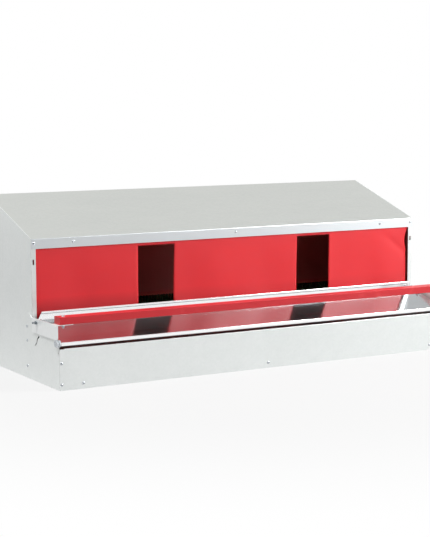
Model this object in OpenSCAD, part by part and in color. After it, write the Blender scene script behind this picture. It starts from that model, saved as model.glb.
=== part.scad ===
// Roll out nest box: a sheet steel cabinet with a split curtain, an egg tray in front of it
// under a sloping lid, and a perch on two arms. Lid and perch flip up on the same two bolts.
// X runs along the width, the front faces -Y, Z is up, and Z = 0 is the face it stands on.

/* [Cabinet] */
// Width over the two side panels
cab_w = 1220; // [900:1:1500]
// Depth from the front opening to the back panel
cab_d = 290; // [240:1:350]
// Height of the roof at its front edge
front_h = 364; // [345:1:440]
// Height of the roof at its back edge
back_h = 462; // [430:1:560]
// Thickness of the folded sheet
sheet_t = 1; // [0.8:0.1:1.2]
// Inside radius of the folds
fold_r = 0.6; // [0.4:0.1:0.8]
// Width of the flange folded in at the front of each side panel
post_w = 13.5; // [11:0.5:16]
// Height of the lip at the front of the roof
roof_lip_h = 26; // [22:1:36]
// Width of the hidden flanges that join one panel to the next
joint_flange = 15; // [12:1:20]
// Height of the folded edges of the bottom pan
pan_flange_h = 25; // [20:1:30]

/* [Wall holes] */
// Spacing of the wall holes across the back panel
wall_hole_x = 812.8; // [600:0.1:850]
// Spacing of the wall holes up the back panel
wall_hole_z = 280; // [200:1:300]
// Height of the lower wall holes
wall_hole_low = 130; // [100:1:140]
// Diameter of the wall holes
wall_hole_d = 8; // [6:0.5:10]

/* [Nest floor] */
// Height of the floor at the front opening
floor_front_z = 93; // [85:1:98]
// Height of the floor at the back panel
floor_back_z = 150; // [130:1:165]
// How far the floor reaches forward of the opening
floor_reach = 20; // [12:1:30]
// Thickness of the turf pad on the floor
pad_t = 8; // [5:1:10]

/* [Egg tray] */
// Depth of the tray, from the cabinet's opening to the face of the front panel
tray_d = 169.5; // [160:0.5:200]
// Height of the front panel
front_panel_h = 104.8; // [95:0.1:115]
// Depth of the hem along the top of the front panel
panel_hem = 10; // [6:1:14]
// How far the tray's side plates lap the cabinet
tray_lap = 50; // [44:1:60]
// Radius of the round top of each side plate
ear_r = 27; // [22:1:28]
// How far the round top stands over the back of the lid
ear_rise = 14.5; // [11:0.5:20]
// Height of the foot of the curved slot
slot_low = 93; // [85:1:98]
// Height of the curved slot
slot_rise = 25; // [20:1:27]
// Diameter of the hole at the top of the curved slot
slot_hole_d = 6; // [4:0.5:7]
// Width of the curved slot
slot_w = 3.6; // [2:0.1:4.4]

/* [Lid] */
// Height of the slit between the front panel and the lid's lip
slit_h = 6.6; // [5:0.1:9]
// Height of the lid's front lip
lid_lip_h = 9; // [7.5:0.5:12]
// How much higher the lid is at its back fold than at its front fold
lid_rise = 36.6; // [31:0.1:39]
// Distance of the lid's back flange from the opening
lid_back_gap = 8; // [7:0.5:12]
// Height of the lid's back flange
lid_flange_h = 20; // [16:1:22]
// Gap between each end of the lid and the tray's side plate
lid_end_gap = 5.5; // [5.3:0.1:7]
// How far the ends of the back flange lie in from the lid's ends
lid_flange_in = 9.5; // [7:0.5:14]
// How far the back flange is cut back at its top corners
lid_mitre = 9; // [5:1:14]
// Radius of the pivot lug at each end of the lid
lug_r = 7.5; // [7:0.1:8]

/* [Perch] */
// Depth of the perch board
board_d = 35; // [28:1:45]
// Thickness of the perch board
board_t = 19; // [15:1:25]
// Radius of the board's long edges
board_edge = 1; // [0.5:0.1:3]
// How far the board's underside lies over the back of the lid
board_rise = 7.5; // [5:0.5:10]
// Thickness of the perch arms
arm_t = 1.5; // [1.2:0.1:2.5]
// Gap between each arm and the tray's side plate
arm_gap = 2.3; // [2:0.1:4]
// How far the arms reach behind the pivot
arm_tail = 31; // [20:1:34]
// Width of the arm's flange under the board
arm_flange_w = 36; // [30:1:45]
// Distance of each perch bolt from the board's end
perch_bolt_in = 16; // [12:1:22]

/* [Pivot and stops] */
// Distance of the pivot bolts in front of the opening
pivot_fwd = 42; // [40:0.5:44]
// How far the pivot bolts sit below the back of the lid
pivot_drop = 2; // [1:0.1:2.5]
// Diameter of the pivot bolts
pivot_d = 5; // [4:0.5:6]
// Radial running clearance of the lid and arms on the pivot bolts
run_fit = 0.05; // [0.03:0.01:0.1]
// Gap left between faces that move past each other
side_gap = 0.3; // [0.2:0.05:0.4]
// Diameter of the stop bolts
stop_d = 10; // [8:1:10]
// Size of the stop bolts' heads across the flats
stop_hex_af = 17; // [13:1:17]
// Distance of the stop bolts behind the face of the front panel
stop_back = 8.5; // [8:0.5:12]

/* [Curtain] */
// Thickness of the vinyl
curtain_t = 1.2; // [0.8:0.1:1.6]
// Height of the gap under the curtain that lets the eggs out
egg_gap = 57; // [50:1:64]
// Width of each entrance cut in the curtain
entrance_w = 110; // [90:1:150]
// Height of the strip of curtain seen between the roof's lip and the entrances
entrance_drop = 8; // [5:0.5:20]
// Middle of the left entrance
entrance_left_x = -247; // [-290:1:-200]
// Middle of the right entrance
entrance_right_x = 258.5; // [200:0.5:290]
// Depth of the curtain's folds
fold_depth = 5; // [2:0.5:8]
// Distance between neighbouring folds
fold_pitch = 290; // [200:10:400]

/* [Fasteners] */
// Diameter of the screws and rivets
screw_d = 4; // [3:0.5:5]
// Diameter of their heads
head_d = 8; // [7:0.5:9]
// Height of their heads
head_h = 2; // [1.5:0.1:2.5]
// Clearance of a screw in its hole
hole_gap = 0.2; // [0.1:0.05:0.4]
// Radial gap of a nut on its bolt
nut_gap = 0.05; // [0.02:0.01:0.1]
// Distance of the curtain rail's outer screws from the sides
rail_screw_in = 119; // [80:1:160]
// Distance of the front panel's lower screws from the sides
panel_screw_in = 64; // [40:1:100]

/* [Hidden] */
$fn = 48;

steel = "#CDD2D0";
zinc = "#DDE0E0";
vinyl_red = "#DC3A3E";
paint_red = "#D93236";
turf_green = "#3C5A3A";

// A folded sheet is drawn from the line that runs midway between its two faces. Each corner of
// that line becomes a round bend, and the outline follows it half a thickness to either side.
bend_steps = 6;
function heading(a, b) = atan2(b[1] - a[1], b[0] - a[0]);
function left_of(angle) = [-sin(angle), cos(angle)];
function turned(from, to) = (to - from + 540) % 360 - 180;
function bend(a, corner, b, r) =
    let (h = heading(a, corner), swing = turned(h, heading(corner, b)), side = sign(swing))
    let (middle = corner - r * tan(abs(swing) / 2) * [cos(h), sin(h)] + side * r * left_of(h))
    [for (k = [0 : bend_steps])
        let (n = left_of(h + swing * k / bend_steps)) [middle - side * r * n, n]];
function bent_line(line, r) = concat(
    [[line[0], left_of(heading(line[0], line[1]))]],
    [for (i = [1 : len(line) - 2]) each bend(line[i - 1], line[i], line[i + 1], r)],
    [[line[len(line) - 1], left_of(heading(line[len(line) - 2], line[len(line) - 1]))]]
);
function folded(line, t = sheet_t) =
    let (path = bent_line(line, fold_r + t / 2))
    concat([for (p = path) p[0] + p[1] * t / 2],
           [for (i = [len(path) - 1 : -1 : 0]) path[i][0] - path[i][1] * t / 2]);

// The step between the two layers of a hem, and the half thickness that turns faces into midlines
hem_step = 2 * fold_r + sheet_t;
half_t = sheet_t / 2;

// The widths on one side of the middle plane, from the inside out
side_in = cab_w / 2 - sheet_t;
side_out = cab_w / 2;
post_in = side_out - post_w;
flange_gap = 0.5;
inner_half = post_in - flange_gap;
tray_in = side_out;
tray_out = tray_in + sheet_t;
lid_half = tray_in - lid_end_gap;
panel_half = tray_out - sheet_t - fold_r / 2;
pan_half = side_in - joint_flange - sheet_t;
tray_floor_half = tray_in - 2 * sheet_t;

// The fore and aft planes, counted from the cabinet's opening at Y = 0
panel_front = -tray_d;
panel_back = panel_front + sheet_t;
pivot_y = -pivot_fwd;
roof_back = cab_d + sheet_t;
y_shift = (tray_d - roof_back) / 2;

// The slopes of the roof, the floor and the lid, as rise over run
roof_slope = (back_h - front_h) / cab_d;
floor_slope = (floor_back_z - floor_front_z) / cab_d;
lid_front_inset = 0.9;
lid_front_y = panel_front + lid_front_inset;
lid_back_y = -lid_back_gap;
lid_front_z = front_panel_h + slit_h + lid_lip_h;
lid_back_z = lid_front_z + lid_rise;
lid_slope = lid_rise / (lid_back_y - lid_front_y);
function roof_z(y) = front_h + roof_slope * y;
function floor_z(y) = floor_front_z + floor_slope * y;
function lid_z(y) = lid_front_z + lid_slope * (y - lid_front_y);
function thick(slope) = sheet_t * sqrt(1 + slope * slope);
floor_v = thick(floor_slope);
roof_v = thick(roof_slope);
lid_v = thick(lid_slope);

// The long slot near the top of each side panel's front flange
post_slot_drop = 60;
post_slot_w = 4.5;
post_slot_straight = 9.5;

// The roof's hidden flanges: one over the back panel, one along each side
roof_back_flange = 22;
roof_side_flange = 14;
roof_edge_y = 34;
roof_edge_end = cab_d - 4;
roof_screw_drop = 12;
side_proud = 0.6;

// The stop bolts carry the arms on the flats of their heads, and the lid on the pin at their end
stop_pin_d = 5;
stop_y = panel_front + stop_back;
stop_z = lid_z(stop_y - stop_pin_d / 2) - lid_v - side_gap - stop_pin_d / 2;
stop_head_t = 6.4;
stop_nut_t = 5;
stop_reach = 8;

// The pivot bolts, the perch arms and their board
pivot_z = lid_back_z - pivot_drop;
board_z = lid_back_z + board_rise;
arm_in = tray_out + arm_gap;
arm_out = arm_in + arm_t;
arm_front = panel_front - 0.5;
arm_back = pivot_y + arm_tail;
arm_top = board_z - arm_t;
arm_low = stop_z + stop_hex_af / 2 + side_gap;
arm_corner = 6;
board_half = tray_in - 3;
board_front = panel_front + 0.5;
board_back = board_front + board_d;
board_mid = (board_front + board_back) / 2;
perch_bolt_x = board_half - perch_bolt_in;
perch_bolt_r = 2.5;
perch_head_r = 5.2;
perch_head_h = 2.8;
perch_washer_r = 6;
perch_washer_t = 1.2;
perch_nut_af = 8;
perch_nut_t = 4;
perch_stub = 4;

// The pivot stack, from the bolt's head outwards
lug_t = 2;
pivot_head_r = 4.5;
pivot_head_t = 2.8;
pivot_washer_r = 5;
bush_r = 4.6;
pivot_washer_t = 1;
pivot_nut_af = 8;
pivot_nut_t = 4;
pivot_tip = 7;
lug_in = lid_half - lug_t;
pivot_head_out = lug_in - side_gap;
pivot_washer_in = arm_out + side_gap;
pivot_nut_in = pivot_washer_in + pivot_washer_t;
pivot_end = pivot_nut_in + pivot_nut_t + pivot_tip;

// The tray's side plates: the ear, the land round the stop bolt, the slot and the small hole
ear_top_z = lid_back_z + ear_rise;
ear_y = tray_lap - ear_r;
ear_z = ear_top_z - ear_r;
ear_shoulder = 16;
ear_front_y = ear_y - ear_r;
pivot_land = 13;
stop_land = 8;
slot_foot = [-21, slot_low];
slot_head = [-45, slot_low + slot_rise];
slot_steps = 10;
slot_sway = 0.11;
vent_r = 2.5;
vent_back = 5;
vent_drop = 11;

// The curtain hangs between a strip behind the roof's lip and a rail behind that
lip_low = front_h - roof_lip_h;
strip_t = 1.7;
curtain_y = strip_t + side_gap;
rail_y = curtain_y + curtain_t + side_gap;
rail_t = 2;
rail_leg = 14;
clamp_low = lip_low + 2;
clamp_high = front_h - 3;
clamp_half = post_in - 1;
rail_half = side_in - 2;
curtain_bottom = floor_front_z + egg_gap;
curtain_top = clamp_low + 4;
entrance_top = lip_low - entrance_drop;
strip_leg_low = clamp_high + side_gap;
strip_leg_top = strip_leg_low + 1;
strip_leg = 12;
clamp_screw_z = (clamp_low + clamp_high) / 2 + 2;
curtain_left = -(post_in + 4);
curtain_right = post_in - 2;
rail_nut_af = 7;
rail_nut_t = 3.2;

// Where the screws and rivets sit
end_screw_x = side_out - 8;
rail_screw_x = [-(side_out - rail_screw_in), 0, side_out - rail_screw_in];
panel_side_x = side_out - 5;
panel_side_z = [14.6, 68];
panel_low_x = [-(side_out - panel_screw_in), 0, side_out - panel_screw_in];
panel_low_z = 14;
tray_rivet_y = tray_lap - 20;
tray_rivet_z = [32.4, 99, 136.5];
back_rivet_z = [60, 235, 410];
back_rivet_x = side_in - joint_flange / 2;
tail = 1.5;
screw_hole_d = screw_d + 2 * hole_gap;

module placed() {
    translate([0, y_shift, 0]) children();
}

module both_sides() {
    children();
    mirror([1, 0, 0]) children();
}

// A plate whose outline is drawn in the Y-Z plane, between two values of X
module plate_yz(x0, x1) {
    translate([x0, 0, 0]) rotate([90, 0, 90]) linear_extrude(x1 - x0) children();
}

// A plate whose outline is drawn in the X-Z plane, between two values of Y
module plate_xz(y0, y1) {
    translate([0, y1, 0]) rotate([90, 0, 0]) linear_extrude(y1 - y0) children();
}

// A block given by its two corners
module block(low, high) {
    translate(low) cube(high - low);
}

// A round bar along X between two values of X
module bar_x(x0, x1, y, z, r) {
    translate([x0, y, z]) rotate([0, 90, 0]) cylinder(r = r, h = x1 - x0);
}

// A round bar along Y between two values of Y
module bar_y(y0, y1, x, z, r) {
    translate([x, y1, z]) rotate([90, 0, 0]) cylinder(r = r, h = y1 - y0);
}

// A hexagon from Z = 0 to h, a true size across its flats, chamfered at its lower end or at both
module hex_block(af, h, both = false) {
    corner = af / cos(30) / 2;
    face = 0.47 * af;
    drop = (corner - face) * tan(30);
    intersection() {
        cylinder(r = corner, h = h, $fn = 6);
        rotate_extrude() polygon(concat(
            [[0, 0], [face, 0], [corner, drop]],
            both ? [[corner, h - drop], [face, h], [0, h]] : [[corner, h], [0, h]]
        ));
    }
}

// A hexagon along X whose chamfered end is at x0 and whose other end is at x1
module hex_x(x0, x1, y, z, af, both = false) {
    translate([x0, y, z]) rotate([0, x1 > x0 ? 90 : -90, 0]) rotate(30) hex_block(af, abs(x1 - x0), both);
}

// Half of the section of a domed head that fills Z = -h to 0
module dome_profile(r, h) {
    ball_r = (r * r + h * h) / (2 * h);
    intersection() {
        translate([0, ball_r - h]) circle(r = ball_r);
        translate([0, -h]) square([r, h]);
    }
}

// A screw or rivet whose domed head sits on a face: it points along +Y from the face at y
module screw_y(x, y, z, grip) {
    translate([x, y, z]) rotate([-90, 0, 0]) {
        cylinder(d = screw_d, h = grip);
        rotate_extrude() dome_profile(head_d / 2, head_h);
    }
}

// A round hole along Y through a thin sheet
module hole_y(x, y, z, d) {
    bar_y(y - 2 * sheet_t, y + 3 * sheet_t, x, z, d / 2);
}

// Sheets that stand under the roof end here, clear of its bends
function under_roof(y) = roof_z(y) - roof_v - side_gap;

module roof_panel() {
    lip_y = -half_t;
    back_y = roof_back - half_t;
    color(steel) placed() {
        difference() {
            union() {
                plate_yz(-side_in, side_in)
                    polygon(folded([
                        [lip_y, lip_low], [lip_y, roof_z(lip_y) - roof_v / 2],
                        [back_y, roof_z(back_y) - roof_v / 2], [back_y, back_h - roof_back_flange]
                    ]));
                // The lip is wider than the roof: its ends cover the side panels' flanges
                both_sides()
                    block([side_in, -sheet_t, lip_low], [side_out - flange_gap, 0, front_h - hem_step]);
                both_sides() plate_yz(side_in - sheet_t, side_in)
                    polygon([[roof_edge_y, roof_z(roof_edge_y) - roof_side_flange],
                             [roof_edge_end, roof_z(roof_edge_end) - roof_side_flange],
                             [roof_edge_end, roof_z(roof_edge_end) - roof_v / 2],
                             [roof_edge_y, roof_z(roof_edge_y) - roof_v / 2]]);
            }
            for (x = rail_screw_x)
                hole_y(x, 0, clamp_screw_z, screw_hole_d);
            both_sides() hole_y(end_screw_x, 0, clamp_screw_z, screw_hole_d);
            both_sides() hole_y(back_rivet_x, cab_d, back_h - roof_screw_drop, screw_hole_d);
        }
    }
}

// The right-hand side panel: one sheet with a flange folded in at its front and its back
module side_panel_right() {
    difference() {
        intersection() {
            linear_extrude(back_h + 2)
                polygon(folded([[post_in, half_t], [side_out - half_t, half_t],
                                [side_out - half_t, cab_d - sheet_t - half_t],
                                [side_in - joint_flange, cab_d - sheet_t - half_t]]));
            union() {
                plate_yz(side_in, side_out + 1)
                    polygon([[-1, 0], [cab_d, 0], [cab_d, roof_z(cab_d) + side_proud],
                             [-1, roof_z(-1) + side_proud]]);
                plate_yz(post_in - joint_flange, side_in)
                    polygon([[-1, sheet_t], [cab_d, sheet_t], [cab_d, under_roof(cab_d)],
                             [-1, under_roof(-1)]]);
            }
        }
        // A long slot near the top of the front flange
        translate([post_in + post_w / 2, half_t, front_h - post_slot_drop]) rotate([90, 0, 0])
            linear_extrude(4 * sheet_t, center = true) post_slot_outline();
        bar_y(-sheet_t, 2 * sheet_t, end_screw_x, clamp_screw_z, screw_hole_d / 2);
        for (z = concat(back_rivet_z, [back_h - roof_screw_drop]))
            hole_y(back_rivet_x, cab_d - sheet_t, z, screw_hole_d);
        for (z = tray_rivet_z)
            bar_x(side_in - 2, side_out + 2, tray_rivet_y, z, screw_hole_d / 2);
    }
}

module post_slot_outline() {
    square([post_slot_w, post_slot_straight], center = true);
    for (s = [-1, 1])
        translate([0, s * post_slot_straight / 2]) circle(d = post_slot_w);
}

module left_side_panel() {
    color(steel) placed() mirror([1, 0, 0]) side_panel_right();
}

module right_side_panel() {
    color(steel) placed() side_panel_right();
}

module back_panel() {
    back_half = side_out - fold_r;
    color(steel) placed() difference() {
        block([-back_half, cab_d - sheet_t, 0], [back_half, cab_d, under_roof(cab_d - sheet_t)]);
        for (s = [-1, 1], z = [wall_hole_low, wall_hole_low + wall_hole_z])
            hole_y(s * wall_hole_x / 2, cab_d - sheet_t, z, wall_hole_d);
        for (s = [-1, 1], z = concat(back_rivet_z, [back_h - roof_screw_drop]))
            hole_y(s * back_rivet_x, cab_d - sheet_t, z, screw_hole_d);
    }
}

module bottom_pan() {
    front_y = panel_back + half_t;
    back_y = cab_d - sheet_t - half_t;
    edge_in = 3 * sheet_t;
    color(steel) placed() difference() {
        union() {
            plate_yz(-pan_half, pan_half)
                polygon(folded([[front_y, pan_flange_h], [front_y, half_t],
                                [back_y, half_t], [back_y, pan_flange_h]]));
            block([-side_in, front_y + edge_in, 0], [side_in, back_y - edge_in, sheet_t]);
            both_sides()
                block([side_in - sheet_t, edge_in, 0], [side_in, back_y - edge_in, pan_flange_h]);
        }
        for (x = panel_low_x)
            hole_y(x, panel_back, panel_low_z, screw_hole_d);
    }
}

module front_panel() {
    face_y = panel_front + half_t;
    top_z = front_panel_h - half_t;
    color(steel) placed() difference() {
        union() {
            plate_yz(-inner_half, inner_half)
                polygon(folded([[face_y, 0], [face_y, top_z], [face_y + hem_step, top_z],
                                [face_y + hem_step, front_panel_h - panel_hem]]));
            block([-panel_half, panel_front, 0], [panel_half, panel_back, front_panel_h - sheet_t]);
        }
        for (x = panel_low_x)
            hole_y(x, panel_back, panel_low_z, screw_hole_d);
        for (s = [-1, 1], z = panel_side_z)
            hole_y(s * panel_side_x, panel_back, z, screw_hole_d);
    }
}

// The curved slot runs in two flowing bends from its foot up to the round hole at its head
function slot_point(t) = [
    slot_foot[0] + (slot_head[0] - slot_foot[0]) * (t + slot_sway * sin(360 * t)),
    slot_foot[1] + (slot_head[1] - slot_foot[1]) * t
];
function slot_edge(t, side) =
    let (step = slot_point(t + 0.01) - slot_point(t - 0.01))
    slot_point(t) + side * slot_w / 2 * [-step[1], step[0]] / norm(step);

module curved_slot() {
    polygon(concat(
        [for (i = [0 : slot_steps]) slot_edge(i / slot_steps, 1)],
        [for (i = [slot_steps : -1 : 0]) slot_edge(i / slot_steps, -1)]
    ));
    translate(slot_head) circle(d = slot_hole_d);
}

// The right-hand plate beside the egg tray: a round-topped ear laps the cabinet, and a flange is
// folded in behind the front panel
module tray_side_right() {
    difference() {
        intersection() {
            linear_extrude(ear_top_z + 1)
                polygon(folded([[post_in, panel_back + half_t], [tray_out - half_t, panel_back + half_t],
                                [tray_out - half_t, tray_lap + 1]]));
            union() {
                plate_yz(tray_in, tray_out + 1) difference() {
                    union() {
                        polygon([[panel_back - 1, 0], [tray_lap, 0], [tray_lap, ear_z],
                                 [ear_y, ear_z + ear_shoulder], [ear_front_y, arm_top],
                                 [pivot_y - pivot_land, arm_top], [panel_back - 1, stop_z + stop_land]]);
                        translate([ear_y, ear_z]) circle(r = ear_r);
                    }
                    curved_slot();
                }
                block([post_in - 1, panel_back - 1, 0],
                      [tray_in, panel_back + hem_step, front_panel_h - sheet_t]);
            }
        }
        bar_x(tray_in - 2, tray_out + 2, pivot_y, pivot_z, pivot_d / 2 + hole_gap);
        bar_x(tray_in - 2, tray_out + 2, stop_y, stop_z, stop_d / 2 + hole_gap);
        for (z = tray_rivet_z)
            bar_x(tray_in - 2, tray_out + 2, tray_rivet_y, z, screw_hole_d / 2);
        for (z = panel_side_z)
            hole_y(panel_side_x, panel_back, z, screw_hole_d);
        bar_x(tray_in - 2, tray_out + 2, panel_back + vent_back, front_panel_h - vent_drop, vent_r);
    }
}

module left_tray_side() {
    color(steel) placed() mirror([1, 0, 0]) tray_side_right();
}

module right_tray_side() {
    color(steel) placed() tray_side_right();
}

// The angle that carries one end of the sloping floor
module floor_ledge_right() {
    ledge_w = 18;
    ledge_h = 16;
    y0 = tray_rivet_y + 6;
    y1 = cab_d - 4;
    plate_yz(side_in - ledge_w, side_in)
        polygon([[y0, floor_z(y0) - floor_v], [y1, floor_z(y1) - floor_v],
                 [y1, floor_z(y1) - 2 * floor_v], [y0, floor_z(y0) - 2 * floor_v]]);
    plate_yz(side_in - sheet_t, side_in)
        polygon([[y0, floor_z(y0) - floor_v], [y1, floor_z(y1) - floor_v],
                 [y1, floor_z(y1) - ledge_h], [y0, floor_z(y0) - ledge_h]]);
}

module left_floor_ledge() {
    color(steel) placed() mirror([1, 0, 0]) floor_ledge_right();
}

module right_floor_ledge() {
    color(steel) placed() floor_ledge_right();
}

module nest_floor() {
    back_edge_h = 14;
    y0 = -floor_reach;
    y1 = cab_d - 4 - half_t;
    color(steel) placed()
        plate_yz(-inner_half, inner_half)
            polygon(folded([[y0, floor_z(y0) - floor_v / 2], [y1, floor_z(y1) - floor_v / 2],
                            [y1, floor_z(y1) + back_edge_h]]));
}

module nest_pad() {
    y0 = 12;
    y1 = cab_d - 8;
    lift = side_gap;
    edge = 4;
    color(turf_green) placed()
        plate_yz(-(inner_half - edge), inner_half - edge)
            polygon([[y0, floor_z(y0) + lift], [y1, floor_z(y1) + lift],
                     [y1, floor_z(y1) + lift + pad_t], [y0, floor_z(y0) + lift + pad_t]]);
}

// The tray that the eggs roll into: it tucks under the floor and turns up behind the front panel
module egg_tray() {
    side_wall_h = 12;
    front_wall_z = front_panel_h - panel_hem - sheet_t;
    wall_y = panel_back + sheet_t + half_t;
    flat_y = wall_y + hem_step;
    y1 = -1;
    color(steel) placed() {
        plate_yz(-inner_half, inner_half)
            polygon(folded([[wall_y, front_wall_z], [wall_y, floor_z(wall_y) - 1.5 * floor_v],
                            [y1, floor_z(y1) - 1.5 * floor_v]]));
        plate_yz(-tray_floor_half, tray_floor_half)
            polygon([[flat_y, floor_z(flat_y) - floor_v], [y1, floor_z(y1) - floor_v],
                     [y1, floor_z(y1) - 2 * floor_v], [flat_y, floor_z(flat_y) - 2 * floor_v]]);
        both_sides() plate_yz(tray_floor_half - sheet_t, tray_floor_half)
            polygon([[flat_y, floor_z(flat_y) - 2 * floor_v], [y1, floor_z(y1) - 2 * floor_v],
                     [y1, floor_z(y1) + side_wall_h], [flat_y, floor_z(flat_y) + side_wall_h]]);
    }
}

// The vinyl curtain: one sheet with two entrances open at its bottom edge. A grid of cells is
// laid over it, cells inside an entrance are left out, and each cell left gets its faces.
cell_w = 24;
cell_rows = 9;
strip_rows = 2;
cut_x = [
    curtain_left, entrance_left_x - entrance_w / 2, entrance_left_x + entrance_w / 2,
    entrance_right_x - entrance_w / 2, entrance_right_x + entrance_w / 2, curtain_right
];
function spread(a, b, n) = [for (i = [0 : n - 1]) a + (b - a) * i / n];
columns = concat(
    [for (k = [0 : 4]) each spread(cut_x[k], cut_x[k + 1], ceil((cut_x[k + 1] - cut_x[k]) / cell_w))],
    [curtain_right]
);
rows = concat(
    spread(curtain_bottom, entrance_top, cell_rows),
    spread(entrance_top, curtain_top, strip_rows),
    [curtain_top]
);
function hang(z) = max(0, min(1, (clamp_low - z) / (clamp_low - curtain_bottom)));
function ease(u) = let (v = max(0, min(1, u))) v * v * (3 - 2 * v);
// The sheet bellies back between the folds, and its foot swings forward again
foot_h = 45;
foot_share = 0.6;
function belly(x) = 0.5 - 0.5 * cos(360 * (x - curtain_left) / fold_pitch);
function foot(z) = ease((curtain_bottom + foot_h - 5 - z) / foot_h);
function fold_y(x, z) =
    curtain_y + fold_depth * belly(x) * ease(hang(z) * 1.4) * (1 - foot_share * foot(z));
// The free right edge draws in near its top, where it curls away from the flange
curl_reach = 60;
curl_in = 7.5;
curl_foot = 5;
function curl(z) = curl_in * sin(180 * min(1, hang(z) * 2.8)) + curl_foot * ease(hang(z) * 3);
function edge_x(x, z) = x - curl(z) * pow(max(0, (x - curtain_right + curl_reach) / curl_reach), 2);
function in_entrance(x, z) = z < entrance_top
    && (abs(x - entrance_left_x) < entrance_w / 2 || abs(x - entrance_right_x) < entrance_w / 2);
nc = len(columns);
nr = len(rows);
function grid_id(i, j, back) = (back * nc + i) * nr + j;
function cell_there(i, j) =
    i >= 0 && j >= 0 && i < nc - 1 && j < nr - 1
    && !in_entrance((columns[i] + columns[i + 1]) / 2, (rows[j] + rows[j + 1]) / 2);
function two(a, b, c, d) = [[a, b, c], [a, c, d]];

module curtain() {
    points = [
        for (back = [0, 1], i = [0 : nc - 1], j = [0 : nr - 1])
            [edge_x(columns[i], rows[j]), fold_y(columns[i], rows[j]) + back * curtain_t, rows[j]]
    ];
    faces = [
        for (i = [0 : nc - 2], j = [0 : nr - 2]) if (cell_there(i, j)) each concat(
            two(grid_id(i, j, 0), grid_id(i, j + 1, 0), grid_id(i + 1, j + 1, 0), grid_id(i + 1, j, 0)),
            two(grid_id(i, j, 1), grid_id(i + 1, j, 1), grid_id(i + 1, j + 1, 1), grid_id(i, j + 1, 1)),
            cell_there(i - 1, j) ? [] : two(
                grid_id(i, j, 0), grid_id(i, j, 1), grid_id(i, j + 1, 1), grid_id(i, j + 1, 0)),
            cell_there(i + 1, j) ? [] : two(
                grid_id(i + 1, j, 0), grid_id(i + 1, j + 1, 0),
                grid_id(i + 1, j + 1, 1), grid_id(i + 1, j, 1)),
            cell_there(i, j - 1) ? [] : two(
                grid_id(i, j, 0), grid_id(i + 1, j, 0), grid_id(i + 1, j, 1), grid_id(i, j, 1)),
            cell_there(i, j + 1) ? [] : two(
                grid_id(i, j + 1, 0), grid_id(i, j + 1, 1),
                grid_id(i + 1, j + 1, 1), grid_id(i + 1, j + 1, 0))
        )
    ];
    color(vinyl_red) placed() polyhedron(points, faces);
}

module curtain_rail() {
    color(steel) placed() difference() {
        union() {
            block([-rail_half, rail_y, clamp_low], [rail_half, rail_y + rail_t, clamp_high]);
            block([-rail_half, rail_y, clamp_low], [rail_half, rail_y + rail_leg, clamp_low + rail_t]);
        }
        for (x = rail_screw_x)
            bar_y(rail_y - 1, rail_y + rail_t + 1, x, clamp_screw_z, screw_hole_d / 2);
    }
}

// An angle in front of the curtain, whose top leg lies over the rail
module curtain_strip() {
    color(steel) placed() difference() {
        union() {
            block([-clamp_half, 0, clamp_low], [clamp_half, strip_t, strip_leg_top]);
            block([-clamp_half, 0, strip_leg_low], [clamp_half, rail_y + strip_leg, strip_leg_top]);
        }
        for (x = rail_screw_x)
            bar_y(-1, strip_t + 1, x, clamp_screw_z, screw_hole_d / 2);
    }
}

// The sloping lid: a hem stiffens its front lip and the top of its back flange
module egg_tray_lid() {
    flange_top = lid_back_z + lid_flange_h;
    flange_hem = 5.2;
    lip_hem = 6;
    lip_low_z = lid_front_z - lid_lip_h;
    flange_y = lid_back_y - half_t;
    hem_y = flange_y - hem_step;
    lip_y = lid_front_y + half_t;
    flange_half = lid_half - lid_flange_in;
    mitre_low = lid_back_z + sheet_t + fold_r;
    // The lip's hem stops short of the two bolts that the lid rests on
    lip_hem_half = tray_in - stop_nut_t - stop_reach - 1;
    color(steel) placed() difference() {
        union() {
            plate_yz(-lid_half, lid_half)
                polygon(folded([
                    [hem_y, flange_top - flange_hem], [hem_y, flange_top - half_t],
                    [flange_y, flange_top - half_t], [flange_y, lid_z(flange_y) - lid_v / 2],
                    [lip_y, lid_z(lip_y) - lid_v / 2], [lip_y, lip_low_z + half_t]
                ]));
            plate_yz(-lip_hem_half, lip_hem_half)
                polygon(folded([
                    [lip_y, lip_low_z + lip_hem], [lip_y, lip_low_z + half_t],
                    [lip_y + hem_step, lip_low_z + half_t], [lip_y + hem_step, lip_low_z + lip_hem]
                ]));
            both_sides() bar_x(lug_in, lid_half, pivot_y, pivot_z, lug_r);
        }
        // The back flange is cut at a slant at both ends
        both_sides() plate_xz(hem_y - hem_step, flange_y + hem_step)
            polygon([[flange_half, mitre_low], [flange_half - lid_mitre, flange_top + 1],
                     [lid_half + 2, flange_top + 1], [lid_half + 2, mitre_low]]);
        both_sides() bar_x(lug_in - 1, lid_half + 1, pivot_y, pivot_z, pivot_d / 2 + run_fit);
    }
}

// The side view of a perch arm
module arm_outline() {
    polygon([[arm_back, arm_low], [arm_front + arm_corner, arm_low], [arm_front, arm_low + arm_corner],
             [arm_front, board_z], [board_back + 2, board_z], [arm_back, board_z - 1]]);
}

// The right-hand arm: a plate outside the tray with a flange folded in under the board
module perch_arm_right() {
    fold_from = board_front + 1;
    difference() {
        union() {
            intersection() {
                plate_xz(fold_from, board_back)
                    polygon(folded([
                        [arm_out - arm_t / 2, arm_low], [arm_out - arm_t / 2, board_z - arm_t / 2],
                        [board_half - arm_flange_w, board_z - arm_t / 2]
                    ], arm_t));
                plate_yz(board_half - arm_flange_w - 1, arm_out + 1) arm_outline();
            }
            plate_yz(arm_in, arm_out) difference() {
                arm_outline();
                translate([fold_from, arm_low - 1]) square([board_back - fold_from, board_z - arm_low + 2]);
            }
        }
        bar_x(arm_in - 1, arm_out + 1, pivot_y, pivot_z, pivot_d / 2 + run_fit);
        translate([perch_bolt_x, board_mid, arm_top - 1])
            cylinder(r = perch_bolt_r + hole_gap, h = arm_t + 2);
    }
}

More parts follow.
